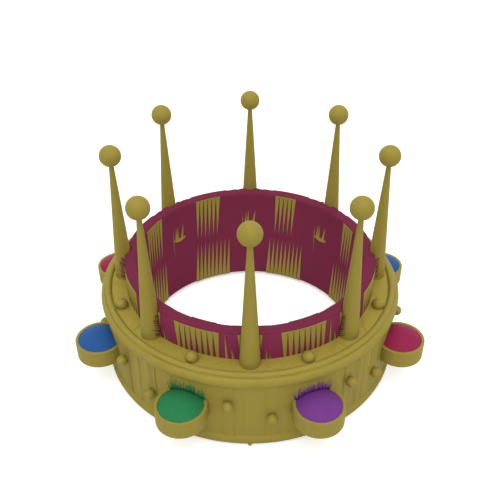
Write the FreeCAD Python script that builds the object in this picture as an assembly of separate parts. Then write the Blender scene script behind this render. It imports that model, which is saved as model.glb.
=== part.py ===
"""Round crown with tall ball-tipped points, stone cups and a padded velvet head band.

The crown stands on the table at height 0, and its axis is the Z axis. The front point is at -90 degrees.
A foot ring, a plain tube and a ledge ring make the hollow metal band. The velvet band stands on the foot
ring and rises through the ledge ring to a rim of its own. Points, studs, cups and stones repeat every
45 degrees: the points at 0, 45, 90 and so on, and the cups half a step further round.
All lengths are millimetres and all angles degrees.
"""

import FreeCAD
import Part
import math
import os

Vector = FreeCAD.Vector
UP = Vector(0, 0, 1)
ORIGIN = Vector(0, 0, 0)

# Whole crown
CROWN_HEIGHT = 189.0
SECTORS = 8
STEP = 360.0 / SECTORS
FIRST_POINT = -90.0
FIRST_CUP = FIRST_POINT + STEP / 2

# Velvet head band, whose inside radius is the head's and drives every other radius
HEAD_RADIUS = 92.4
VELVET_THICKNESS = 9.6
VELVET_TOP = 93.7
RIM_ROUND = 0.4
PUCKER_RADIUS = 2.0
PUCKER_RISE = 1.5

# Metal band
LEDGE_WIDTH = 19.1
SHEET = 1.6
LEDGE_HEIGHT = 69.7
FOOT_FLANGE = 2.8
FOOT_SETBACK = 4.6
MOULDING_RADIUS = 5.25
FOOT_BEAD_INSET = 3.0
LEDGE_BEAD_INSET = 2.5
WIRE_RADIUS = 2.8
WIRE_INSET = 3.5
WIRE_DEPTH = 0.4
STRAP_WIDTH = 8.6
STRAP_RELIEF = 0.35

# Points and their balls
POINT_SET = 3.0
POINT_FOOT_RADIUS = 7.9
POINT_TIP_RADIUS = 1.85
BALL_RADIUS = 8.36
SPIGOT_RADIUS = 1.0
SPIGOT_LENGTH = 4.5
TANG_RADIUS = 2.5
TANG_PROUD = 0.8
NUT_FLATS = 8.0
NUT_HEIGHT = 4.0

# Studs on the wall and on the ledge
WALL_STUD_RADIUS = 4.2
WALL_STUD_SET = 3.2
WALL_STUD_ANGLE = 7.5
HIGH_STUD_HEIGHT = 43.6
LOW_STUD_HEIGHT = 30.5
LEDGE_STUD_RADIUS = 5.0
LEDGE_STUD_SET = 1.7
LEDGE_STUD_INSET = 11.5
SHANK_RADIUS = 1.3
CLENCH_RADIUS = 2.3
CLENCH_HEIGHT = 0.9

# Cups and stones
CUP_REACH = 9.7
CUP_RADIUS = 19.3
CUP_WALL = 2.1
CUP_TOP = 43.5
CUP_HEIGHT = 14.2
STONE_GIRDLE_DROP = 0.4
STONE_RISE = 6.2

# Gold appliques on the velvet
APPLIQUE = 0.25
GLUE = 0.15
TOOTH_PITCH = 2.5
TOOTH_WIDTH = 2.3
TOOTH_STRIP = 0.8
UPPER_TIP_HEIGHT = 51.6
UPPER_COMBS = ((4, 6), (2, 6), (2, 4), (3, 5))
LOWER_TIP_HEIGHT = 46.2
LOWER_FIRST = 5
LOWER_TEETH = 9
OUTER_TEETH = 8
TOOTH_FOOT = (0.5, 0.06)
DARTS = ((12.5, 1.15, 92.6), (15.2, 1.1, 79.0), (-16.2, 0.9, 79.2), (-14.6, 0.6, 74.0))
EAR_START = 3.7
EAR_WIDTH = 1.3
EAR_TIP_HEIGHT = 80.0
CLAW_HEIGHT = 62.2
CLAW_RIM = 1.4
CLAW_DEPTH = 2.5
CLAW_HALF_WIDTH = 4.2
PRONGS = ((3.3, 2.1, 2.1, 74.5), (2.0, 0.7, 0.9, 76.2), (-1.0, -2.6, -3.1, 76.0))
NEEDLE = ((4.45, 42.0), (4.7, 64.0), (4.5, 72.5), (4.3, 66.0))

# Clearances
FIT = 0.05
SLIP = 0.3

VELVET_RADIUS = HEAD_RADIUS + VELVET_THICKNESS
WALL_RADIUS = VELVET_RADIUS + LEDGE_WIDTH
POINT_CIRCLE = VELVET_RADIUS + POINT_SET
LEDGE_STUD_CIRCLE = WALL_RADIUS - LEDGE_STUD_INSET
CUP_CIRCLE = WALL_RADIUS + CUP_REACH
FOOT_INNER = HEAD_RADIUS + FOOT_SETBACK
LEDGE_INNER = VELVET_RADIUS + SLIP
LEDGE_UNDERSIDE = LEDGE_HEIGHT - SHEET
STRAP_RADIUS = WALL_RADIUS + STRAP_RELIEF
BALL_HEIGHT = CROWN_HEIGHT - BALL_RADIUS
TIP_HEIGHT = BALL_HEIGHT - math.sqrt(BALL_RADIUS**2 - POINT_TIP_RADIUS**2)


def at(radius, height, angle=0.0):
    """The place at a radius from the crown's axis, a height above the table and an angle round it."""
    turn = math.radians(angle)
    return Vector(radius * math.cos(turn), radius * math.sin(turn), height)


def line(start, end):
    return Part.LineSegment(start, end).toShape()


def arc(start, middle, end):
    return Part.Arc(start, middle, end).toShape()


def ring(edges):
    """The solid made by turning a closed section, drawn at angle 0, once round the axis."""
    return Part.makeSolid(Part.Face(Part.Wire(edges)).revolve(ORIGIN, UP, 360))


def tube(outer, inner, low, high):
    height = high - low
    return Part.makeCylinder(outer, height, at(0, low)).cut(Part.makeCylinder(inner, height, at(0, low)))


def turned(shape, angle):
    copy = shape.copy()
    copy.rotate(ORIGIN, UP, angle)
    return copy


def raised(shape, height):
    return shape.translated(Vector(0, 0, height))


def point_angle(sector):
    return FIRST_POINT + STEP * sector


def cup_angle(sector):
    return FIRST_CUP + STEP * sector


def bead_reach(inset):
    """Half the height of a moulding's bead where it meets the outside of the wall."""
    return math.sqrt(MOULDING_RADIUS**2 - inset**2)


def point_radius(height):
    """The radius of a point at a height, from its foot on the ledge to its tip under the ball."""
    share = (height - LEDGE_HEIGHT) / (TIP_HEIGHT - LEDGE_HEIGHT)
    return POINT_FOOT_RADIUS + share * (POINT_TIP_RADIUS - POINT_FOOT_RADIUS)


def foot_ring():
    """Flat flange that carries the wall and the velvet band, with a half-round bead round the outside."""
    axis = WALL_RADIUS - FOOT_BEAD_INSET
    lip = MOULDING_RADIUS + bead_reach(FOOT_BEAD_INSET)
    corners = [at(WALL_RADIUS, lip), at(WALL_RADIUS, FOOT_FLANGE), at(FOOT_INNER, FOOT_FLANGE)]
    corners += [at(FOOT_INNER, 0), at(axis, 0)]
    edges = [line(a, b) for a, b in zip(corners, corners[1:])]
    outermost = at(axis + MOULDING_RADIUS, MOULDING_RADIUS)
    return ring(edges + [arc(corners[-1], outermost, corners[0])])


def ledge_ring():
    """Top plate of the band, with a half-round bead outside and a round lobe under each point."""
    axis = WALL_RADIUS - LEDGE_BEAD_INSET
    middle = LEDGE_HEIGHT - MOULDING_RADIUS
    lip = middle - bead_reach(LEDGE_BEAD_INSET)
    corners = [at(WALL_RADIUS, lip), at(WALL_RADIUS, LEDGE_UNDERSIDE), at(LEDGE_INNER, LEDGE_UNDERSIDE)]
    corners += [at(LEDGE_INNER, LEDGE_HEIGHT), at(axis, LEDGE_HEIGHT)]
    edges = [line(a, b) for a, b in zip(corners, corners[1:])]
    plate = ring(edges + [arc(corners[-1], at(axis + MOULDING_RADIUS, middle), corners[0])])
    lobe = Part.makeCylinder(POINT_FOOT_RADIUS, SHEET, at(POINT_CIRCLE, LEDGE_UNDERSIDE))
    tang_hole = Part.makeCylinder(TANG_RADIUS + FIT, SHEET, at(POINT_CIRCLE, LEDGE_UNDERSIDE))
    stud_hole = Part.makeCylinder(SHANK_RADIUS + FIT, SHEET, at(LEDGE_STUD_CIRCLE, LEDGE_UNDERSIDE))
    plate = plate.fuse([turned(lobe, point_angle(i)) for i in range(SECTORS)])
    holes = [turned(tang_hole, point_angle(i)) for i in range(SECTORS)]
    holes += [turned(stud_hole, cup_angle(i)) for i in range(SECTORS)]
    return plate.cut(holes).removeSplitter()


def ledge_wire(seat):
    """Round wire lying in the shallow dip where the ledge turns down into its bead."""
    wire = Part.makeTorus(WALL_RADIUS - WIRE_INSET, WIRE_RADIUS, at(0, LEDGE_HEIGHT - WIRE_DEPTH))
    hollow = tube(WALL_RADIUS, LEDGE_INNER, LEDGE_HEIGHT - MOULDING_RADIUS, LEDGE_UNDERSIDE)
    return wire.cut([seat, hollow])


def wall_stud_places():
    """Angle and height of each wall stud: one high and one low, either side of each point."""
    for i in range(SECTORS):
        yield point_angle(i) - WALL_STUD_ANGLE, HIGH_STUD_HEIGHT
        yield point_angle(i) + WALL_STUD_ANGLE, LOW_STUD_HEIGHT


def radial_pin(radius, start, length, angle, height):
    """Round bar that points straight out from the crown's axis."""
    return Part.makeCylinder(radius, length, at(start, height, angle), at(1, 0, angle))


def band_wall():
    """Plain tube between the two rings, with a shallow upright strap behind each wall stud."""
    low = MOULDING_RADIUS + bead_reach(FOOT_BEAD_INSET)
    high = LEDGE_HEIGHT - MOULDING_RADIUS - bead_reach(LEDGE_BEAD_INSET)
    plain = tube(WALL_RADIUS, WALL_RADIUS - SHEET, FOOT_FLANGE, LEDGE_UNDERSIDE)
    depth = SHEET / 2
    slab = Part.makeBox(2 * SHEET, STRAP_WIDTH, high - low, at(WALL_RADIUS - SHEET, low))
    slab.translate(Vector(0, -STRAP_WIDTH / 2, 0))
    strap = slab.common(tube(STRAP_RADIUS, WALL_RADIUS - depth, low, high))
    places = list(wall_stud_places())
    wall = plain.fuse([turned(strap, angle) for angle, _ in places])
    start = WALL_RADIUS - 2 * SHEET
    holes = [radial_pin(SHANK_RADIUS + FIT, start, 4 * SHEET, angle, height) for angle, height in places]
    return wall.cut(holes).removeSplitter()


def velvet_band():
    """Padded band with a rounded rim, notched round each point, where the velvet puckers up."""
    inner = HEAD_RADIUS
    outer = VELVET_RADIUS
    top = VELVET_TOP
    turn = RIM_ROUND
    lean = turn * (1 - math.sqrt(0.5))
    edges = [
        line(at(inner, FOOT_FLANGE), at(inner, top - turn)),
        arc(at(inner, top - turn), at(inner + lean, top - lean), at(inner + turn, top)),
        line(at(inner + turn, top), at(outer - turn, top)),
        arc(at(outer - turn, top), at(outer - lean, top - lean), at(outer, top - turn)),
        line(at(outer, top - turn), at(outer, FOOT_FLANGE)),
        line(at(outer, FOOT_FLANGE), at(inner, FOOT_FLANGE)),
    ]
    band = ring(edges)
    rim_radius = point_radius(top) + SLIP
    pucker = Part.makeTorus(
        rim_radius + PUCKER_RADIUS / 2, PUCKER_RADIUS, at(POINT_CIRCLE, top + PUCKER_RISE - PUCKER_RADIUS)
    )
    pucker = pucker.common(tube(outer, inner, LEDGE_HEIGHT, top + PUCKER_RADIUS))
    above = top + PUCKER_RISE + SLIP
    notch = Part.makeCone(
        POINT_FOOT_RADIUS + SLIP,
        point_radius(above) + SLIP,
        above - LEDGE_HEIGHT,
        at(POINT_CIRCLE, LEDGE_HEIGHT),
    )
    pocket_depth = SHEET + NUT_HEIGHT + TANG_PROUD + SLIP
    pocket = Part.makeCylinder(
        POINT_FOOT_RADIUS + SLIP, pocket_depth, at(POINT_CIRCLE, LEDGE_HEIGHT - pocket_depth)
    )
    band = band.fuse([turned(pucker, point_angle(i)) for i in range(SECTORS)])
    return band.cut([turned(notch.fuse(pocket), point_angle(i)) for i in range(SECTORS)])


def point():
    """Tapered point on the ledge, with a tang through it below and a spigot for the ball above."""
    taper = Part.makeCone(
        POINT_FOOT_RADIUS, POINT_TIP_RADIUS, TIP_HEIGHT - LEDGE_HEIGHT, at(POINT_CIRCLE, LEDGE_HEIGHT)
    )
    tang_length = SHEET + NUT_HEIGHT + TANG_PROUD
    tang = Part.makeCylinder(TANG_RADIUS, tang_length, at(POINT_CIRCLE, LEDGE_HEIGHT - tang_length))
    spigot = Part.makeCylinder(SPIGOT_RADIUS, SPIGOT_LENGTH, at(POINT_CIRCLE, TIP_HEIGHT))
    return taper.fuse([tang, spigot])


def ball():
    """Ball with a small flat and a blind hole below, where it sits on its point."""
    whole = Part.makeSphere(BALL_RADIUS, at(POINT_CIRCLE, BALL_HEIGHT))
    room = Part.makeBox(4 * BALL_RADIUS, 4 * BALL_RADIUS, BALL_RADIUS)
    room.translate(at(POINT_CIRCLE, TIP_HEIGHT) - Vector(2 * BALL_RADIUS, 2 * BALL_RADIUS, BALL_RADIUS))
    hole = Part.makeCylinder(SPIGOT_RADIUS + FIT, SPIGOT_LENGTH + SLIP, at(POINT_CIRCLE, TIP_HEIGHT))
    return whole.cut([room, hole])


def nut():
    """Hexagon nut drawn up against the underside of the ledge, on a point's tang."""
    corner = NUT_FLATS / 2 / math.cos(math.radians(30))
    centre = at(POINT_CIRCLE, LEDGE_UNDERSIDE - NUT_HEIGHT)
    corners = [centre + at(corner, 0, 60 * side) for side in range(7)]
    block = Part.Face(Part.makePolygon(corners)).extrude(Vector(0, 0, NUT_HEIGHT))
    return block.cut(Part.makeCylinder(TANG_RADIUS + FIT, NUT_HEIGHT, centre))


def ledge_stud():
    """Round-headed stud on the ledge, clenched below it."""
    head = Part.makeSphere(LEDGE_STUD_RADIUS, at(LEDGE_STUD_CIRCLE, LEDGE_HEIGHT + LEDGE_STUD_SET))
    size = 3 * LEDGE_STUD_RADIUS
    room = Part.makeBox(size, size, size)
    room.translate(at(LEDGE_STUD_CIRCLE, LEDGE_HEIGHT) - Vector(size / 2, size / 2, size))
    shank = Part.makeCylinder(SHANK_RADIUS, SHEET, at(LEDGE_STUD_CIRCLE, LEDGE_UNDERSIDE))
    clench = Part.makeCylinder(
        CLENCH_RADIUS, CLENCH_HEIGHT, at(LEDGE_STUD_CIRCLE, LEDGE_UNDERSIDE - CLENCH_HEIGHT)
    )
    return head.cut(room).fuse([shank, clench])


def wall_stud():
    """Round-headed stud on the wall at angle 0 and height 0, clenched inside it."""
    reach = 2 * WALL_STUD_RADIUS
    inside = WALL_RADIUS - SHEET
    bite = CLENCH_HEIGHT / 2
    head = Part.makeSphere(WALL_STUD_RADIUS, at(STRAP_RADIUS + WALL_STUD_SET, 0))
    head = head.cut(Part.makeCylinder(STRAP_RADIUS, 2 * reach, at(0, -reach)))
    shank = radial_pin(SHANK_RADIUS, inside - bite, STRAP_RADIUS - inside + 2 * bite, 0, 0)
    clench = radial_pin(CLENCH_RADIUS, inside - CLENCH_HEIGHT, 2 * CLENCH_HEIGHT, 0, 0)
    clench = clench.common(Part.makeCylinder(inside, 2 * reach, at(0, -reach)))
    return head.fuse([shank, clench])


def cup():
    """Round cup with an open top, coped to the wall that it is soldered to."""
    low = CUP_TOP - CUP_HEIGHT
    body = Part.makeCylinder(CUP_RADIUS, CUP_HEIGHT, at(CUP_CIRCLE, low))
    hollow = Part.makeCylinder(CUP_RADIUS - CUP_WALL, CUP_HEIGHT, at(CUP_CIRCLE, low + CUP_WALL))
    return body.cut([hollow, Part.makeCylinder(WALL_RADIUS, CUP_TOP)])


def stone():
    """Cabochon that fills a cup and rises over its rim in a low dome, with a back cut to the wall."""
    radius = CUP_RADIUS - CUP_WALL - FIT
    low = CUP_TOP - CUP_HEIGHT + CUP_WALL
    crown = CUP_TOP - STONE_GIRDLE_DROP + STONE_RISE
    dome_radius = (radius**2 + STONE_RISE**2) / (2 * STONE_RISE)
    dome = Part.makeSphere(dome_radius, at(CUP_CIRCLE, crown - dome_radius))
    body = Part.makeCylinder(radius, crown - low, at(CUP_CIRCLE, low)).common(dome)
    return body.cut(Part.makeCylinder(WALL_RADIUS + FIT, CROWN_HEIGHT))


def applique(outline, outside):
    """Thin plate of a pointed outline, laid on the velvet band's outer or inner face at angle 0.

    The outline is a list of (angle, height) corners.
    """
    if outside:
        radius = VELVET_RADIUS
        back = radius + GLUE
        skin = tube(back + APPLIQUE, back, 0, CROWN_HEIGHT)
    else:
        radius = HEAD_RADIUS
        back = radius - GLUE
        skin = tube(back, back - APPLIQUE, 0, CROWN_HEIGHT)
    start = radius / 2
    corners = [Vector(start, radius * math.sin(math.radians(angle)), height) for angle, height in outline]
    prism = Part.Face(Part.makePolygon(corners + corners[:1])).extrude(Vector(radius, 0, 0))
    return prism.common(skin)


def upper_comb(first, teeth):
    """Comb on the inside whose teeth hang from the rim. The first tooth's straight side is a whole number
    of pitches from the middle, and the other teeth run back from it.
    """
    top = VELVET_TOP - RIM_ROUND
    root = top - TOOTH_STRIP
    corners = [(first * TOOTH_PITCH, top)]
    for tooth in range(teeth):
        angle = (first - tooth) * TOOTH_PITCH
        corners += [(angle, root), (angle, UPPER_TIP_HEIGHT), (angle - TOOTH_WIDTH, root)]
    return applique(corners[:1] + corners[2:] + [(angle - TOOTH_WIDTH, top)], outside=False)


def lower_comb():
    """Comb on the inside whose teeth stand up from the foot, with the straight side of each at its end."""
    root = FOOT_FLANGE + TOOTH_STRIP
    corners = [(LOWER_FIRST * TOOTH_PITCH, FOOT_FLANGE)]
    for tooth in range(LOWER_TEETH):
        angle = (LOWER_FIRST - tooth) * TOOTH_PITCH
        corners += [(angle, root), (angle - TOOTH_WIDTH, LOWER_TIP_HEIGHT), (angle - TOOTH_WIDTH, root)]
    return applique(corners[:-1] + [(angle - TOOTH_WIDTH, FOOT_FLANGE)], outside=False)


def outer_comb():
    """Comb on the outside, from the rim down to the ledge, whose teeth narrow to half their width there."""
    top = VELVET_TOP - RIM_ROUND
    root = top - TOOTH_STRIP
    half = OUTER_TEETH * TOOTH_PITCH / 2
    corners = [(half, top), (-half, top)]
    for tooth in range(OUTER_TEETH):
        end = (tooth + 1) * TOOTH_PITCH - half
        corners += [(end - TOOTH_WIDTH, root)]
        corners += [(end - share * TOOTH_PITCH, LEDGE_HEIGHT) for share in TOOTH_FOOT]
        corners += [(end, root)]
    return applique(corners[:2] + corners[3:-1], outside=True)


def dart(start, width, tip_height):
    """Thin sliver that stands on the ledge, with its tip over its first corner."""
    corners = [(start, LEDGE_HEIGHT), (start + width, LEDGE_HEIGHT), (start, tip_height)]
    return applique(corners, outside=True)


def ear(side):
    """Small hanging sliver beside a point, measured from that point's angle."""
    top = VELVET_TOP - RIM_ROUND
    near = side * EAR_START
    far = side * (EAR_START + EAR_WIDTH)
    return applique([(near, top), (far, top), ((near + far) / 2, EAR_TIP_HEIGHT)], outside=True)


def claw():
    """Crescent with three leaning prongs, and a needle beside it, on the inside behind a point."""
    half = CLAW_HALF_WIDTH
    top = CLAW_HEIGHT
    low = top - CLAW_RIM
    bow = [(share * half, low - CLAW_DEPTH * (1 - share**2)) for share in (-1.0, -0.5, 0.0, 0.5, 1.0)]
    crest = [(half, top)]
    for start, end, tip, tip_height in PRONGS:
        crest += [(start, top), (tip, tip_height), (end, top)]
    crescent = applique(bow + crest + [(-half, top)], outside=False)
    return Part.makeCompound([crescent, applique(list(NEEDLE), outside=False)])


def around(shape, angle_of):
    """Eight turned copies of a shape that was drawn at angle 0."""
    return [turned(shape, angle_of(i)) for i in range(SECTORS)]


def outer_trim():
    """Combs and slivers on the outside of the velvet band, all the way round."""
    slivers = [dart(start, width, height) for start, width, height in DARTS]
    pieces = around(outer_comb(), cup_angle)
    for sliver in slivers:
        pieces += around(sliver, cup_angle)
    for side in (-1, 1):
        pieces += around(ear(side), point_angle)
    return pieces


def build():
    """Every node of the crown by name. A node that repeats small alike pieces is a group of solids."""
    nodes = {
        "foot_ring": foot_ring(),
        "ledge_ring": ledge_ring(),
        "band_wall": band_wall(),
        "velvet_band": velvet_band(),
    }
    nodes["ledge_wire"] = ledge_wire(nodes["ledge_ring"])
    repeated = {
        "point": (point(), point_angle),
        "ball": (ball(), point_angle),
        "cup": (cup(), cup_angle),
        "stone": (stone(), cup_angle),
        "ledge_stud": (ledge_stud(), cup_angle),
    }
    for name, (shape, angle_of) in repeated.items():
        for i, copy in enumerate(around(shape, angle_of)):
            nodes[f"{name}_{i + 1}"] = copy
    head = wall_stud()
    upper_kinds = [upper_comb(first, teeth) for first, teeth in UPPER_COMBS]
    groups = {
        "point_nuts": around(nut(), point_angle),
        "wall_studs": [raised(turned(head, angle), height) for angle, height in wall_stud_places()],
        "upper_combs": [turned(upper_kinds[i % 4], cup_angle(i)) for i in range(SECTORS)],
        "lower_combs": around(lower_comb(), cup_angle),
        "outer_combs": outer_trim(),
        "claws": around(claw(), point_angle),
    }
    for name, pieces in groups.items():
        nodes[name] = Part.makeCompound([solid for piece in pieces for solid in piece.Solids])
    return nodes


def main():
    os.makedirs("parts", exist_ok=True)
    for name, shape in build().items():
        print(name, "solids", len(shape.Solids), "volume", round(shape.Volume, 1))
        shape.exportStep(f"parts/{name}.step")


main()
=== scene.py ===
# %% [markdown]
# A round gold crown with tall points, stones in cups and a crimson velvet head band. Blender gives every
# piece its finish, and makes what the metalworker and the upholsterer add by hand: the velvet and its
# stitches, the solder line and beads, the ridges beside the points, the grains that hold the stones and the
# blades of enamel above two pairs of them.

import bpy
import math
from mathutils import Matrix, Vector


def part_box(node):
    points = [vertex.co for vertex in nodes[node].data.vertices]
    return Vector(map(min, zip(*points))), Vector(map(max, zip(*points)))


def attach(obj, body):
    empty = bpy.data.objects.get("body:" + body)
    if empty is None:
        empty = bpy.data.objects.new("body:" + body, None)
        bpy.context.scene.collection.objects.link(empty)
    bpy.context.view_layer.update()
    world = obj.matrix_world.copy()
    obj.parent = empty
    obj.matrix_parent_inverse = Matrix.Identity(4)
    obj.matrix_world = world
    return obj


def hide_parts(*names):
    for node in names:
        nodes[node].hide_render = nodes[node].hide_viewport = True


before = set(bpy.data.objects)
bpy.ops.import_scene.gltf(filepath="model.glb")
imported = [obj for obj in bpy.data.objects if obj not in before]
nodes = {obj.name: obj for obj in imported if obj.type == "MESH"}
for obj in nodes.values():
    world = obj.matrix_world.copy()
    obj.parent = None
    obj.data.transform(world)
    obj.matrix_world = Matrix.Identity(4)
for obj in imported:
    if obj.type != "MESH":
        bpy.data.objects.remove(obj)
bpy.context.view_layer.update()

# %% [markdown]
# Every size that the added pieces need is read from the boxes of the measured pieces or named here in metres,
# so the pieces follow the crown if it is made larger or smaller.

# %% Sizes of the crown
MM = 0.001
SECTORS = 8
FIRST_POINT = math.radians(-90)
FIRST_CUP = FIRST_POINT + math.pi / SECTORS
SEED = 7
VELVET_THICKNESS = 9.6 * MM
RIM_ROUND = 0.4 * MM
TANG_BELOW_LEDGE = 6.4 * MM
LEDGE_WIDTH = 19.1 * MM
WIRE_INSET = 3.5 * MM
POINT_TIP_RADIUS = 1.85 * MM
POINT_RISE = 102.8 * MM
CUP_REACH = 9.7 * MM

velvet_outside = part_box("velvet_band")[1].x
velvet_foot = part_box("velvet_band")[0].z
velvet_inside = velvet_outside - VELVET_THICKNESS
rim_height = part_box("upper_combs")[1].z + RIM_ROUND
ledge_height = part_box("point_1")[0].z + TANG_BELOW_LEDGE
point_low, point_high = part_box("point_1")
point_circle = -(point_low.y + point_high.y) / 2
point_foot = (point_high.x - point_low.x) / 2
point_taper = (point_foot - POINT_TIP_RADIUS) / POINT_RISE
wall_radius = velvet_outside + LEDGE_WIDTH
wire_circle = wall_radius - WIRE_INSET
print("velvet", velvet_inside, velvet_outside, "rim", rim_height, "ledge", ledge_height)
print("points on", point_circle, "wall", wall_radius)


# %% [markdown]
# A finish is a small calculation: noise in, colour and height out. Wrapping a node's socket in a class with
# Python's own operators lets that calculation be read as one line of arithmetic. The same class serves
# materials and Geometry Nodes, because both use the same Math node.


# %% A socket that understands arithmetic
class Wire:
    """One output of a node tree. Arithmetic on it adds Math nodes."""

    def __init__(self, tree, socket):
        self.tree = tree
        self.socket = socket

    def maths(self, operation, *values):
        return node(self.tree, "ShaderNodeMath", {"operation": operation}, dict(enumerate(values)))

    def __add__(self, other):
        return self.maths("ADD", self, other)

    def __sub__(self, other):
        return self.maths("SUBTRACT", self, other)

    def __rsub__(self, other):
        return self.maths("SUBTRACT", other, self)

    def __mul__(self, other):
        return self.maths("MULTIPLY", self, other)

    def __truediv__(self, other):
        return self.maths("DIVIDE", self, other)

    __radd__ = __add__
    __rmul__ = __mul__

    def clamped(self):
        return self.maths("MINIMUM", self.maths("MAXIMUM", self, 0.0), 1.0)

    def root(self):
        return self.maths("SQRT", self)

    def away_from(self, middle):
        return self.maths("ABSOLUTE", self - middle)


def node(tree, kind, settings=None, inputs=None, output=0):
    """Adds a node of a type, with its settings and the values or links of its sockets."""
    made = tree.nodes.new(kind)
    for name, value in (settings or {}).items():
        setattr(made, name, value)
    for key, value in (inputs or {}).items():
        if isinstance(value, Wire):
            tree.links.new(value.socket, made.inputs[key])
        else:
            made.inputs[key].default_value = value
    return Wire(tree, made.outputs[output])


def split(vector):
    """The three numbers of a vector."""
    parts = node(vector.tree, "ShaderNodeSeparateXYZ", None, {0: vector}).socket.node
    return [Wire(vector.tree, output) for output in parts.outputs]


def joined(x, y, z, tree):
    return node(tree, "ShaderNodeCombineXYZ", None, {0: x, 1: y, 2: z})


# %% [markdown]
# Colours are written as they are read off a screen, from 0 to 255, and turned into the linear values that the
# shader works in.


# %% Colours
def colour(red, green, blue):
    def linear(level):
        level = level / 255
        return level / 12.92 if level <= 0.04045 else ((level + 0.055) / 1.055) ** 2.4

    return (linear(red), linear(green), linear(blue), 1.0)


OLD_GOLD = colour(149, 134, 58)
CRIMSON = colour(118, 44, 69)
STONE_COLOURS = {
    "purple": colour(113, 57, 134),
    "red": colour(144, 38, 75),
    "blue": colour(41, 86, 146),
    "green": colour(41, 120, 74),
}


def scaled(shade, factor):
    return tuple(factor * level for level in shade[:3]) + (1.0,)


# %% [markdown]
# Every material starts the same way: a Principled shader, and the place on the object as the pattern's
# coordinates. Object coordinates are used because each piece sits at the origin with its place in its mesh,
# so one pattern runs unbroken from piece to piece.


# %% The start of a material
def begin(name):
    """A new material's tree with its shader, and the place on the object."""
    material = bpy.data.materials.new(name)
    material.use_nodes = True
    tree = material.node_tree
    place = node(tree, "ShaderNodeTexCoord", output="Object")
    return material, tree, tree.nodes["Principled BSDF"], place


def noise(tree, vector, scale, detail=2.0, roughness=0.5):
    sizes = {"Vector": vector, "Scale": scale, "Detail": detail, "Roughness": roughness}
    return node(tree, "ShaderNodeTexNoise", None, sizes)


def blend(tree, share, first, second):
    """A colour between two, by a share from 0 to 1."""
    return node(tree, "ShaderNodeMix", {"data_type": "RGBA"}, {0: share, 6: first, 7: second}, output=2)


def relief(tree, shader, height, depth, strength=1.0):
    """Feeds a height from 0 to 1 to the shader as a bump of a real depth in metres."""
    bump = node(tree, "ShaderNodeBump", None, {"Height": height, "Distance": depth, "Strength": strength})
    tree.links.new(bump.socket, shader.inputs["Normal"])


def ridges(tree, vector, scale, sharpness=6.0):
    """Thin lines, 1 on the line and 0 between, where a smooth noise crosses its middle."""
    return 1 - (noise(tree, vector, scale, 1.0).away_from(0.5) * sharpness).clamped()


# %% [markdown]
# Old-gold paint on metal is matt, with a fine tooth left by the brush. Its tone drifts a little from place
# to place, it is lighter where hands have rubbed a ridge, and a hollow is painted darker as shade. Each part
# of the crown was worked in its own direction: the wall was creased upright at its sides, the mouldings were
# drawn round, and the ledge was brushed in long strokes that sweep outwards. The flat of the ledge is painted
# lighter than the written colour too: painted light that only makes up for the shade this light leaves there.


# %% Gold finishes
# How much paler the flat of the ledge is painted, as painted light against its shade.
LEDGE_PAINTED_LIGHT = 1.26
MOULDING_WIDTH = 6.2 * MM


def gold(name, pattern, depth, contrast=0.05, painted_light_on=None):
    """Matt old gold. The pattern makes the height of the worked surface from the tree and the place."""
    material, tree, shader, place = begin(name)
    worked = pattern(tree, place)
    tooth = noise(tree, place, 900.0, 3.0, 0.6)
    cloud = noise(tree, place, 22.0, 3.0)
    # The tone follows the worked height: ridges are lighter as wear, and hollows are darker as painted shade.
    wear_and_shade = (worked * 0.7 + cloud * 0.3).clamped()
    shade = blend(tree, wear_and_shade, scaled(OLD_GOLD, 1 - contrast), scaled(OLD_GOLD, 1 + contrast))
    # The flat of the ledge gets a paler copy of the gold: painted light against the shade that falls there.
    if painted_light_on:
        low, high = LEDGE_PAINTED_LIGHT - contrast, LEDGE_PAINTED_LIGHT + contrast
        painted_light_gold = blend(tree, wear_and_shade, scaled(OLD_GOLD, low), scaled(OLD_GOLD, high))
        shade = blend(tree, painted_light_on(tree, place), shade, painted_light_gold)
    tree.links.new(shade.socket, shader.inputs["Base Color"])
    rough = 0.55 + tooth * 0.12 + cloud * 0.08
    tree.links.new(rough.socket, shader.inputs["Roughness"])
    shader.inputs["Metallic"].default_value = 0.2
    shader.inputs["Specular IOR Level"].default_value = 0.12
    relief(tree, shader, worked + tooth * 0.03, depth)
    return material


def upright_creases(tree, place):
    x, y, z = split(place)
    sides = ((x.away_from(0.0) - 0.03) / 0.05).clamped()
    along = joined(x, y, z * 0.05, tree)
    folds = noise(tree, along, 110.0, 1.0, 0.5)
    # The crease lines are sunk, so the gold's tone also paints them darker, as shade in the creases.
    lines = ridges(tree, along, 60.0, 12.0)
    return 0.6 + (folds - 0.5) * sides * 2.2 - lines * (sides * 0.5 + 0.1)


def drawn_round(tree, place):
    x, y, z = split(place)
    radius = (x * x + y * y).root()
    along = joined(x / radius * 0.02, y / radius * 0.02, z + radius * 1.3, tree)
    return noise(tree, along, 110.0, 1.0, 0.4)


def swept_strokes(tree, place):
    x, y, z = split(place)
    radius = (x * x + y * y).root()
    turn = x.maths("ARCTAN2", y, x) + radius * 11.0
    along = joined(turn.maths("COSINE", turn), turn.maths("SINE", turn), radius * 3.0, tree)
    return noise(tree, along, 8.0, 1.0, 0.4) * 0.7 - ridges(tree, along, 6.0, 14.0) * 0.3 + 0.2


def on_the_ledge(tree, place):
    """1 on the flat of the ledge and 0 on the moulding round it."""
    x, y, z = split(place)
    return ((wall_radius - MOULDING_WIDTH - (x * x + y * y).root()) / MM).clamped()


def planished(tree, place):
    return noise(tree, place, 120.0, 1.0, 0.5)


def leaf(tree, place):
    return noise(tree, place, 260.0, 2.0, 0.5)


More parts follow.
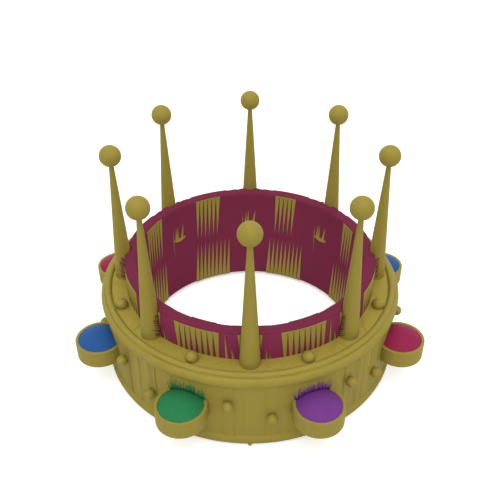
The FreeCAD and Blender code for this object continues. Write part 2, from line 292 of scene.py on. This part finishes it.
wall_gold = gold("gold_creased", upright_creases, 0.0011, 0.15)
ring_gold = gold("gold_drawn", drawn_round, 0.0005, 0.07)
ledge_gold = gold("gold_swept", swept_strokes, 0.0006, 0.09, on_the_ledge)
cast_gold = gold("gold_cast", planished, 0.00015, 0.03)
leaf_gold = gold("gold_leaf", leaf, 0.00008, 0.04)


# %% [markdown]
# Velvet has a short pile. It looks deep where the pile stands up and pale where it lies down, in soft patches
# that run along the cloth, and it shines a little at grazing angles, which is what sheen does. The
# outside is painted lighter than the written colour. That isn't seen on the crown: it makes up for the shade
# of this light between the velvet and the points, where the photo has none.


# %% Crimson velvet
def velvet():
    material, tree, shader, place = begin("crimson_velvet")
    x, y, z = split(place)
    lying = noise(tree, joined(x, y, z * 0.25, tree), 38.0, 2.0, 0.5)
    pile = noise(tree, place, 2200.0, 2.0, 0.7)
    nap = (lying * 0.8 + pile * 0.2).clamped()
    inner = blend(tree, nap, scaled(CRIMSON, 0.92), scaled(CRIMSON, 1.08))
    # The outside is a paler copy of the crimson: painted light that makes up for the shade between the velvet
    # and the points.
    outside_painted_light = blend(tree, nap, scaled(CRIMSON, 1.14), scaled(CRIMSON, 1.32))
    outside = (((x * x + y * y).root() - velvet_inside) / VELVET_THICKNESS).clamped()
    sides_with_painted_light = blend(tree, outside, inner, outside_painted_light)
    # The rim gets a slightly darker copy of the crimson: painted shade that evens out the light on its top
    # against the sides.
    rim_painted_shade = blend(tree, nap, scaled(CRIMSON, 0.9), scaled(CRIMSON, 1.02))
    rim = ((z - rim_height + 1.4 * MM) / (0.8 * MM)).clamped()
    shade = blend(tree, rim, sides_with_painted_light, rim_painted_shade)
    tree.links.new(shade.socket, shader.inputs["Base Color"])
    rough = 0.82 + pile * 0.12
    tree.links.new(rough.socket, shader.inputs["Roughness"])
    shader.inputs["Specular IOR Level"].default_value = 0.05
    shader.inputs["Sheen Weight"].default_value = 0.06
    shader.inputs["Sheen Roughness"].default_value = 0.5
    shader.inputs["Sheen Tint"].default_value = scaled(CRIMSON, 3.0)
    relief(tree, shader, pile * 0.3 + lying, 0.00005)
    return material


def thread():
    """Waxed crimson thread: the velvet's colour, with a faint twist along it."""
    material, tree, shader, place = begin("crimson_thread")
    twist = noise(tree, place, 1500.0, 1.0)
    shade = blend(tree, twist.clamped(), scaled(CRIMSON, 0.85), scaled(CRIMSON, 1.1))
    tree.links.new(shade.socket, shader.inputs["Base Color"])
    shader.inputs["Roughness"].default_value = 0.7
    shader.inputs["Specular IOR Level"].default_value = 0.1
    relief(tree, shader, twist, 0.0001)
    return material


crimson_velvet = velvet()
crimson_thread = thread()


# %% [markdown]
# The stones are opaque cabochons, polished to a satin. Each has a faint cloud of colour inside and a few
# darker veins, and the enamel blades above them are the same colour on gold.


# %% Stones and enamel
def stone(name, shade):
    material, tree, shader, place = begin(name)
    cloud = noise(tree, place, 70.0, 3.0, 0.5)
    veins = ridges(tree, place, 55.0, 16.0)
    tone = (cloud * 0.9 + (1 - veins) * 0.1).clamped()
    surface = blend(tree, tone, scaled(shade, 0.9), scaled(shade, 1.1))
    tree.links.new(surface.socket, shader.inputs["Base Color"])
    rough = 0.45 + cloud * 0.12
    tree.links.new(rough.socket, shader.inputs["Roughness"])
    shader.inputs["Specular IOR Level"].default_value = 0.05
    shader.inputs["Coat Weight"].default_value = 0.01
    shader.inputs["Coat Roughness"].default_value = 0.35
    relief(tree, shader, cloud, 0.00008)
    return material


stones = {name: stone("stone_" + name, shade) for name, shade in STONE_COLOURS.items()}


# %% [markdown]
# Each measured piece keeps its shape and gets its finish by name. The stones run purple, red, blue and green
# from the front right, twice round the crown.


# %% Finish the measured pieces
ORDER = ["purple", "red", "blue", "green"]
FINISHES = {
    "foot_ring": ring_gold,
    "ledge_ring": ledge_gold,
    "ledge_wire": ring_gold,
    "band_wall": wall_gold,
    "velvet_band": crimson_velvet,
    "point": cast_gold,
    "point_nuts": cast_gold,
    "ball": cast_gold,
    "cup": cast_gold,
    "ledge_stud": cast_gold,
    "wall_studs": cast_gold,
    "upper_combs": leaf_gold,
    "lower_combs": leaf_gold,
    "outer_combs": leaf_gold,
    "claws": leaf_gold,
}


def finish_of(name):
    family, _, number = name.rpartition("_")
    if family == "stone":
        return stones[ORDER[(int(number) - 1) % len(ORDER)]]
    return FINISHES[name] if name in FINISHES else FINISHES[family]


for name, piece in nodes.items():
    piece.data.materials.clear()
    piece.data.materials.append(finish_of(name))
print("finished", len(nodes), "measured pieces")


# %% [markdown]
# The pieces that are added are grown by Geometry Nodes: a tree with named sizes makes the shape, and the
# result is turned into a plain mesh, so that nothing is left to be worked out later. One helper starts a tree
# with its named sizes, and another one grows a piece from it.


# %% Trees and what grows from them
def start_tree(name, sizes):
    """A tree of Geometry Nodes with a named number for each size, and those numbers as wires."""
    tree = bpy.data.node_groups.new(name, "GeometryNodeTree")
    kinds = {int: "NodeSocketInt", float: "NodeSocketFloat"}
    for size, value in sizes.items():
        tree.interface.new_socket(size, in_out="INPUT", socket_type=kinds[type(value)])
    tree.interface.new_socket("Geometry", in_out="OUTPUT", socket_type="NodeSocketGeometry")
    entrance = tree.nodes.new("NodeGroupInput")
    return tree, {size: Wire(tree, entrance.outputs[size]) for size in sizes}


def end_tree(tree, shape, material):
    """Realizes what the tree has made, gives it its material and sends it out."""
    real = node(tree, "GeometryNodeRealizeInstances", None, {0: shape})
    smooth = node(tree, "GeometryNodeSetShadeSmooth", None, {0: real})
    done = node(tree, "GeometryNodeSetMaterial", None, {"Geometry": smooth, "Material": material})
    way_out = tree.nodes.new("NodeGroupOutput")
    tree.links.new(done.socket, way_out.inputs[0])


def round_curve(tree, steps, radius):
    sizes = {"Resolution": steps, "Radius": radius}
    return node(tree, "GeometryNodeCurvePrimitiveCircle", {"mode": "RADIUS"}, sizes)


def tube_along(tree, curve, thickness):
    """A round wire along a curve, with closed ends."""
    section = round_curve(tree, 8, thickness)
    return node(
        tree, "GeometryNodeCurveToMesh", None, {"Curve": curve, "Profile Curve": section, "Fill Caps": True}
    )


def round_the_crown(tree, shape, count, first):
    """Copies of a shape, turned by equal steps round the crown's axis."""
    spots = node(tree, "GeometryNodeMeshLine", None, {"Count": count, "Offset": (0.0, 0.0, 0.0)})
    turn = node(tree, "GeometryNodeInputIndex") * (2 * math.pi) / count + first
    places = {"Points": spots, "Instance": shape, "Rotation": joined(0.0, 0.0, turn, tree)}
    return node(tree, "GeometryNodeInstanceOnPoints", None, places)


def grown(name, tree, sizes):
    """The plain mesh that a tree makes from its sizes, riding on the crown."""
    piece = bpy.data.objects.new(name, bpy.data.meshes.new(name))
    bpy.context.scene.collection.objects.link(piece)
    growth = piece.modifiers.new(name, "NODES")
    growth.node_group = tree
    for item in tree.interface.items_tree:
        if item.in_out == "INPUT":
            growth[item.identifier] = sizes[item.name]
    graph = bpy.context.evaluated_depsgraph_get()
    mesh = bpy.data.meshes.new_from_object(piece.evaluated_get(graph), depsgraph=graph)
    piece.modifiers.remove(growth)
    piece.data = mesh
    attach(piece, "root")
    print(name, "faces", len(mesh.polygons), "size", [round(side, 4) for side in piece.dimensions])
    return piece


# %% [markdown]
# The velvet is a firm padded roll covered in cloth. Its section is a rounded upright bar swept round the
# head. Where a point passes, the velvet is pressed back around the metal and puckers up beside it, and a
# little further off it swells again. The sweep is a rule, so Geometry Nodes makes it, and the presses are
# arithmetic on each place of the mesh.

# %% The velvet head band
velvet_sizes = {
    "Inside radius": velvet_inside,
    "Outside radius": velvet_outside,
    "Foot height": velvet_foot,
    "Rim height": rim_height,
    "Rounding": 0.7 * MM,
    "Point circle": point_circle,
    "Point foot": point_foot + 0.35 * MM,
    "Point taper": point_taper,
    "Ledge height": ledge_height,
    "Pucker width": 4.0 * MM,
    "Pucker rise": 1.3 * MM,
    "Swell reach": 15.4 * MM,
    "Swell width": 5.0 * MM,
    "Swell rise": 0.6 * MM,
    "Slack": 0.1 * MM,
    "Steps round": 800,
    "Steps of the section": 96,
}


def bump_at(distance, middle, width):
    """1 at a distance's middle, falling smoothly to 0 at its width."""
    share = (distance.away_from(middle) / width).clamped()
    return (1 - share * share) * (1 - share * share)


def velvet_tree():
    tree, size = start_tree("padded_velvet", velvet_sizes)
    middle = (size["Inside radius"] + size["Outside radius"]) * 0.5
    circle = round_curve(tree, size["Steps round"], middle)
    width = size["Outside radius"] - size["Inside radius"]
    height = size["Rim height"] - size["Foot height"]
    bar = node(
        tree,
        "GeometryNodeCurvePrimitiveQuadrilateral",
        {"mode": "RECTANGLE"},
        {"Width": width, "Height": height},
    )
    corners = {"Curve": bar, "Count": 4, "Radius": size["Rounding"]}
    rounded = node(tree, "GeometryNodeFilletCurve", {"mode": "POLY"}, corners)
    steps = {"Curve": rounded, "Count": size["Steps of the section"]}
    section = node(tree, "GeometryNodeResampleCurve", {"mode": "COUNT"}, steps)
    sweep = node(tree, "GeometryNodeCurveToMesh", None, {"Curve": circle, "Profile Curve": section})
    place = node(tree, "GeometryNodeInputPosition")
    x, y, z = split(place)
    z = z + (size["Rim height"] + size["Foot height"]) * 0.5
    turn = x.maths("ARCTAN2", y, x)
    step = 2 * math.pi / SECTORS
    nearest = step * turn.maths("ROUND", (turn - FIRST_POINT) / step) + FIRST_POINT
    from_x = x - nearest.maths("COSINE", nearest) * size["Point circle"]
    from_y = y - nearest.maths("SINE", nearest) * size["Point circle"]
    distance = (from_x * from_x + from_y * from_y).root()
    metal = size["Point foot"] - (z - size["Ledge height"]) * size["Point taper"]
    metal = metal.maths("MINIMUM", metal, size["Point foot"])
    pushed = distance.maths("MAXIMUM", distance, metal) / distance
    slack = (noise(tree, place, 24.0, 1.0) - 0.5) * size["Slack"] * 2
    radius = (x * x + y * y).root()
    new_x = x + from_x * (pushed - 1) + x / radius * slack
    new_y = y + from_y * (pushed - 1) + y / radius * slack
    rim = ((z - size["Rim height"] + 5 * MM) / (5 * MM)).clamped()
    pucker = bump_at(distance - metal, size["Pucker width"] * 0.3, size["Pucker width"]) * size["Pucker rise"]
    swell = bump_at(distance, size["Swell reach"], size["Swell width"]) * size["Swell rise"]
    new_z = z + rim * (pucker + swell + slack * 2.5)
    moved = joined(new_x, new_y, new_z, tree)
    shaped = node(tree, "GeometryNodeSetPosition", None, {"Geometry": sweep, "Position": moved})
    end_tree(tree, shaped, crimson_velvet)
    return tree


velvet_band = grown("velvet_roll", velvet_tree(), velvet_sizes)
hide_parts("velvet_band")

# %% [markdown]
# The round wire is soldered into the angle between the ledge and its bead. Solder runs along the joint in a
# line that is never quite even, so a thin tube follows a circle whose places are nudged by noise.

# %% The solder line
solder_sizes = {
    "Circle": wire_circle + 3.1 * MM,
    "Height": ledge_height - 0.3 * MM,
    "Thickness": 0.42 * MM,
    "Unevenness": 2.0 * MM,
    "Steps round": 720,
}


def solder_tree():
    tree, size = start_tree("solder_line", solder_sizes)
    circle = round_curve(tree, size["Steps round"], size["Circle"])
    place = node(tree, "GeometryNodeInputPosition")
    x, y, z = split(place)
    slip = (noise(tree, place, 40.0, 2.0, 0.5) - 0.5) * size["Unevenness"]
    out = (x * x + y * y).root()
    moved = joined(x + x / out * slip, y + y / out * slip, size["Height"] - slip * 0.8, tree)
    line = node(tree, "GeometryNodeSetPosition", None, {"Geometry": circle, "Position": moved})
    end_tree(tree, tube_along(tree, line, size["Thickness"]), ring_gold)
    return tree


grown("solder_line", solder_tree(), solder_sizes)

# %% [markdown]
# A low ridge curves round the foot of each point, where the metalworker set a pad under it. It is a thin arc
# of wire, half sunk in the ledge, once on each side of every point.

# %% Ridges beside the points
ridge_sizes = {
    "Point circle": point_circle,
    "Ledge height": ledge_height,
    "Ridge radius": 14.0 * MM,
    "Thickness": 0.3 * MM,
    "Start": math.radians(52),
    "Sweep": math.radians(50),
    "Points": SECTORS,
}


def ridge_tree():
    tree, size = start_tree("pad_ridges", ridge_sizes)
    pair = node(tree, "GeometryNodeJoinGeometry")
    for side in (-1.0, 1.0):
        bend = {"Resolution": 20, "Radius": size["Ridge radius"]}
        bend["Start Angle"] = size["Start"] * side
        bend["Sweep Angle"] = size["Sweep"] * side
        arc = node(tree, "GeometryNodeCurveArc", {"mode": "RADIUS"}, bend)
        tree.links.new(tube_along(tree, arc, size["Thickness"]).socket, pair.socket.node.inputs[0])
    outward = joined(size["Point circle"], 0.0, size["Ledge height"], tree)
    placed = node(tree, "GeometryNodeTransform", None, {"Geometry": pair, "Translation": outward})
    end_tree(tree, round_the_crown(tree, placed, size["Points"], FIRST_POINT), ledge_gold)
    return tree


grown("pad_ridges", ridge_tree(), ridge_sizes)

# %% [markdown]
# The velvet is sewn to the foot of each point with slanting stitches of crimson thread, which show at its
# sides where the notch ends. Each stitch is a short length of thread that lies on the cone of the point. A row
# of straight curves is laid out first, numbered by its place along X, and then bent onto the cone by
# arithmetic.

# %% Stitches at the points' feet
stitch_sizes = {
    "Point circle": point_circle,
    "Ledge height": ledge_height,
    "Point foot": point_foot,
    "Point taper": point_taper,
    "Thread": 0.24 * MM,
    "Rows": 17,
    "Pitch": 1.15 * MM,
    "Rise": 3.4 * MM,
    "Start": math.radians(56),
    "End": math.radians(104),
    "Unevenness": 0.8 * MM,
    "Points": SECTORS,
}


def stitch_tree():
    tree, size = start_tree("stitches", stitch_sizes)
    ends = {"Start": (0, 0, 0), "End": (0, 0, 1)}
    straight = node(tree, "GeometryNodeCurvePrimitiveLine", {"mode": "POINTS"}, ends)
    steps = node(tree, "GeometryNodeResampleCurve", {"mode": "COUNT"}, {"Curve": straight, "Count": 10})
    spots = node(tree, "GeometryNodeMeshLine", None, {"Count": size["Rows"] * 2, "Offset": (1.0, 0.0, 0.0)})
    row_of = node(tree, "GeometryNodeInstanceOnPoints", None, {"Points": spots, "Instance": steps})
    real = node(tree, "GeometryNodeRealizeInstances", None, {0: row_of})
    number, _, share = split(node(tree, "GeometryNodeInputPosition"))
    number = number.maths("ROUND", number)
    row = number.maths("FLOOR", number / 2)
    side = (number / 2 - row) * 4 - 1
    slip = (noise(tree, joined(number * 1.7, 0.0, 0.0, tree), 1.0) - 0.5) * size["Unevenness"] * 2
    ragged = noise(tree, joined(number * 2.3, 5.0, 0.0, tree), 1.0) - 0.5
    turn = (size["Start"] + ragged * 0.9 + (size["End"] - size["Start"]) * share * (ragged + 0.9)) * side
    above = row * size["Pitch"] + share * size["Rise"] + slip + 0.3 * MM
    reach = size["Point foot"] - above * size["Point taper"] + size["Thread"] * 0.4
    bent_x = size["Point circle"] - reach * turn.maths("COSINE", turn)
    bent = joined(bent_x, reach * turn.maths("SINE", turn), size["Ledge height"] + above, tree)
    laid = node(tree, "GeometryNodeSetPosition", None, {"Geometry": real, "Position": bent})
    thread_run = tube_along(tree, laid, size["Thread"])
    end_tree(tree, round_the_crown(tree, thread_run, size["Points"], FIRST_POINT), crimson_thread)
    return tree


grown("stitches", stitch_tree(), stitch_sizes)

# %% [markdown]
# The rim of each cup is pushed down over its stone with a small punch, which raises a row of grains. They are
# tiny balls on a circle round the stone, and those that would fall inside the wall are left out.

# %% Grains that hold the stones
cup_circle = wall_radius + CUP_REACH
cup_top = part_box("cup_1")[1].z
stone_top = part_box("stone_1")[1].z
stone_radius = 17.15 * MM
stone_rise = 6.2 * MM

grain_sizes = {
    "Cup circle": cup_circle,
    "Wall radius": wall_radius,
    "Height": cup_top - 0.15 * MM,
    "Ring radius": stone_radius + 0.1 * MM,
    "Grains": 84,
    "Largest": 0.62 * MM,
    "Smallest": 0.3 * MM,
    "Cups": SECTORS,
    "Seed": SEED,
}


def grain_tree():
    tree, size = start_tree("setting_grains", grain_sizes)
    circle = round_curve(tree, size["Grains"], size["Ring radius"])
    centre = joined(size["Cup circle"], 0.0, size["Height"], tree)
    placed = node(tree, "GeometryNodeTransform", None, {"Geometry": circle, "Translation": centre})
    x, y, z = split(node(tree, "GeometryNodeInputPosition"))
    inside = x.maths("LESS_THAN", (x * x + y * y).root(), size["Wall radius"] + 0.5 * MM)
    kept = node(tree, "GeometryNodeDeleteGeometry", {"domain": "POINT"}, {0: placed, 1: inside})
    spots = node(tree, "GeometryNodeCurveToPoints", {"mode": "EVALUATED"}, {"Curve": kept})
    ball = node(tree, "GeometryNodeMeshIcoSphere", None, {"Radius": 1.0, "Subdivisions": 2})
    limits = {2: size["Smallest"], 3: size["Largest"], 8: size["Seed"]}
    grain = node(tree, "FunctionNodeRandomValue", {"data_type": "FLOAT"}, limits, output=1)
    places = {"Points": spots, "Instance": ball, "Scale": joined(grain, grain, grain * 0.8, tree)}
    grains = node(tree, "GeometryNodeInstanceOnPoints", None, places)
    end_tree(tree, round_the_crown(tree, grains, size["Cups"], FIRST_CUP), leaf_gold)
    return tree


grown("setting_grains", grain_tree(), grain_sizes)

# %% [markdown]
# Blades of enamel, green or purple, stand on the wall behind two pairs of stones like grass behind a pond.
# Each blade is a thin leaf. The blades fan out in tufts, tall in the middle of a tuft and short at its ends,
# and they start on the line where the stone's dome meets the wall, which is worked out from the dome.

# %% Enamel blades
blade_sizes = {
    "Wall radius": wall_radius + 0.05 * MM,
    "Cup circle": cup_circle,
    "Stone top": stone_top,
    "Dome radius": (stone_radius**2 + stone_rise**2) / (2 * stone_rise),
    "Half width": math.radians(6.7),
    "Blades": 84,
    "Tufts": 6.0,
    "Blade width": 0.4 * MM,
    "Shortest": 1.2 * MM,
    "Tallest": 10.4 * MM,
    "Lean": 0.9,
    "First cup": 0.0,
    "Seed": 0,
}


def blade_tree(material, name):
    tree, size = start_tree(name, blade_sizes)
    count = size["Blades"]
    blades = node(tree, "GeometryNodeMeshLine", None, {"Count": count * 2, "Offset": (0.0, 0.0, 0.0)})
    index = node(tree, "GeometryNodeInputIndex")
    which = index.maths("FLOOR", index / count)

    def chance(salt, low, high):
        limits = {2: low, 3: high, 7: index, 8: size["Seed"] + salt}
        return node(tree, "FunctionNodeRandomValue", {"data_type": "FLOAT"}, limits, output=1)

    across = (index - which * count + chance(0, 0.0, 1.0)) / count * 2 - 1
    offset = across * size["Half width"]
    turn = offset + size["First cup"] + which * math.pi
    wall = size["Wall radius"]
    cup = size["Cup circle"]
    apart = (wall * wall + cup * cup - wall * cup * offset.maths("COSINE", offset) * 2).root()
    dome = size["Dome radius"]
    foot = size["Stone top"] - dome + (dome * dome - apart * apart).root() - 0.4 * MM
    drift = (noise(tree, joined(turn, 0.0, 0.0, tree), 9.0) - 0.5) * 1.2
    tuft_place = (across + 1) * size["Tufts"] / 2 + drift
    from_middle = tuft_place - tuft_place.maths("FLOOR", tuft_place) - 0.5
    fan = (1 - from_middle * from_middle * 4).clamped().root()
    height = size["Shortest"] + (size["Tallest"] - size["Shortest"]) * fan * chance(1, 0.5, 1.0)
    shape = {"Vertices": 5, "Radius Top": 0.45, "Radius Bottom": 1.0, "Depth": 1.0}
    leaf_shape = node(tree, "GeometryNodeMeshCone", {"fill_type": "TRIANGLE_FAN"}, shape)
    flat = node(tree, "GeometryNodeTransform", None, {"Geometry": leaf_shape, "Scale": (0.35, 1.0, 1.0)})
    standing = joined(turn.maths("COSINE", turn) * wall, turn.maths("SINE", turn) * wall, foot, tree)
    spots = node(tree, "GeometryNodeSetPosition", None, {"Geometry": blades, "Position": standing})
    lean = (from_middle * -1.0) * size["Lean"] + chance(2, -0.15, 0.15)
    width = size["Blade width"] * chance(3, 0.6, 1.2)
    places = {"Points": spots, "Instance": flat, "Rotation": joined(lean, 0.0, turn, tree)}
    places["Scale"] = joined(width, width, height, tree)
    end_tree(tree, node(tree, "GeometryNodeInstanceOnPoints", None, places), material)
    return tree


for colour_name in ("purple", "green"):
    number = ORDER.index(colour_name)
    sizes = dict(blade_sizes)
    sizes["First cup"] = FIRST_CUP + number * 2 * math.pi / SECTORS
    sizes["Seed"] = SEED + number
    tree = blade_tree(stones[colour_name], "enamel_" + colour_name)
    grown("enamel_" + colour_name, tree, sizes)

# %% [markdown]
# Three beads of solder were never filed away: two on the wire at the left, and one under the foot bead at
# the front. Each is a squashed ball half sunk in the metal.

# %% Solder beads
bead_sizes = {"Radius": 1.5 * MM, "Flatness": 0.55}
BEADS = [
    (-166.2, wire_circle, ledge_height + 2.0 * MM),
    (-154.7, wire_circle, ledge_height + 2.0 * MM),
    (-90.0, wall_radius + 1.6 * MM, 2.2 * MM),
]


def bead_tree():
    tree, size = start_tree("solder_beads", bead_sizes)
    round_ball = {"Segments": 20, "Rings": 12, "Radius": size["Radius"]}
    ball = node(tree, "GeometryNodeMeshUVSphere", None, round_ball)
    squash = joined(1.0, 1.0, size["Flatness"], tree)
    squashed = node(tree, "GeometryNodeTransform", None, {"Geometry": ball, "Scale": squash})
    beads = node(tree, "GeometryNodeJoinGeometry")
    for angle, radius, height in BEADS:
        turn = math.radians(angle)
        spot = (radius * math.cos(turn), radius * math.sin(turn), height)
        moved = node(tree, "GeometryNodeTransform", None, {"Geometry": squashed, "Translation": spot})
        tree.links.new(moved.socket, beads.socket.node.inputs[0])
    end_tree(tree, beads, cast_gold)
    return tree


grown("solder_beads", bead_tree(), bead_sizes)

# %% [markdown]
# The floor is pale and keeps the crown's soft shadow. A camera ray, and a ray that a gloss sends out, sees it
# lifted to white, but the floor throws no more light on the crown than a pale floor does.

# %% Floor
FLOOR_HALF = 3.0
FLOOR_HEIGHT = -0.2 * MM
FLOOR_GLOW = 0.5


def seen_directly(tree):
    """1 for a ray from the camera, a gloss or a glass, and 0 for light on its way to a surface."""
    path = node(tree, "ShaderNodeLightPath").socket.node
    kinds = ("Is Camera Ray", "Is Glossy Ray", "Is Transmission Ray")
    rays = [Wire(tree, path.outputs[kind]) for kind in kinds]
    return (rays[0] + rays[1] + rays[2]).clamped()


def backdrop():
    mesh = bpy.data.meshes.new("floor")
    half = FLOOR_HALF
    flat = [(-half, -half), (half, -half), (half, half), (-half, half)]
    corners = [(x, y, FLOOR_HEIGHT) for x, y in flat]
    mesh.from_pydata(corners, [], [(0, 1, 2, 3)])
    floor = bpy.data.objects.new("floor", mesh)
    bpy.context.scene.collection.objects.link(floor)
    material = bpy.data.materials.new("pale_floor")
    material.use_nodes = True
    tree = material.node_tree
    shader = tree.nodes["Principled BSDF"]
    shader.inputs["Base Color"].default_value = (0.8, 0.8, 0.8, 1.0)
    shader.inputs["Roughness"].default_value = 0.9
    shader.inputs["Specular IOR Level"].default_value = 0.0
    glow = seen_directly(tree) * FLOOR_GLOW
    tree.links.new(joined(glow, glow, glow, tree).socket, shader.inputs["Emission Color"])
    shader.inputs["Emission Strength"].default_value = 1.0
    mesh.materials.append(material)


backdrop()

# %% [markdown]
# The light is soft from all round, as in a white tent. A very wide lamp and the pale floor send light from
# every side, a narrower one overhead reaches down to the ledge, and a broad lamp high in front gives the
# forms their shape. The world adds a faint glow for the corners. The band keeps most of that light out of the
# opening, where the photo is as bright as outside, so a small soft lamp that isn't seen hangs inside it.

# %% Studio light
TENT_LOW = 0.06
TENT_HIGH = 0.1
LAMPS = [
    ("front_lamp", 0.85, 60, 40),
    ("overhead_lamp", 0.3, 90, 60),
    ("wide_lamp", 2.4, 90, 165),
]
INNER_LAMP_POWER = 0.072
INNER_LAMP_RADIUS = 30 * MM


def lamp(name, energy, height, spread):
    light = bpy.data.lights.new(name, "SUN")
    light.energy = energy
    light.angle = math.radians(spread)
    holder = bpy.data.objects.new(name, light)
    holder.rotation_euler = (math.radians(90 - height), 0, 0)
    bpy.context.scene.collection.objects.link(holder)


def studio():
    world = bpy.data.worlds.new("studio_tent")
    bpy.context.scene.world = world
    world.use_nodes = True
    tree = world.node_tree
    background = tree.nodes["Background"]
    direction = node(tree, "ShaderNodeTexCoord", output="Generated")
    height = split(direction)[2]
    glow = TENT_LOW + (height * 1.6).clamped() * (TENT_HIGH - TENT_LOW)
    seen = seen_directly(tree)
    level = glow * (1 - seen) + seen
    tree.links.new(joined(level, level, level, tree).socket, background.inputs["Color"])
    background.inputs["Strength"].default_value = 1.0
    for settings in LAMPS:
        lamp(*settings)


def light_the_opening():
    light = bpy.data.lights.new("inner_lamp", "POINT")
    light.energy = INNER_LAMP_POWER
    light.shadow_soft_size = INNER_LAMP_RADIUS
    holder = bpy.data.objects.new("inner_lamp", light)
    holder.location = (0.0, 0.0, (velvet_foot + rim_height) / 2)
    holder.visible_camera = False
    holder.visible_glossy = False
    bpy.context.scene.collection.objects.link(holder)


studio()
light_the_opening()
print("lamps", len(LAMPS) + 1)

# %% [markdown]
# The camera stands in front of the crown and looks down on it at 35 degrees with a field of view of 40.

# %% Camera
LOOK_AT = Vector((0.0, 0.0, 0.0945))
DISTANCE = 0.5645
ELEVATION = math.radians(35.135)
FIELD = math.radians(40)

camera = bpy.data.cameras.new("camera")
camera.sensor_width = 36.0
camera.lens = camera.sensor_width / 2 / math.tan(FIELD / 2)
camera.clip_start = 0.01
eye = bpy.data.objects.new("camera", camera)
eye.location = LOOK_AT + DISTANCE * Vector((0.0, -math.cos(ELEVATION), math.sin(ELEVATION)))
eye.rotation_euler = (math.pi / 2 - ELEVATION, 0.0, 0.0)
bpy.context.scene.collection.objects.link(eye)
bpy.context.scene.camera = eye
bpy.context.scene.view_settings.view_transform = "Standard"
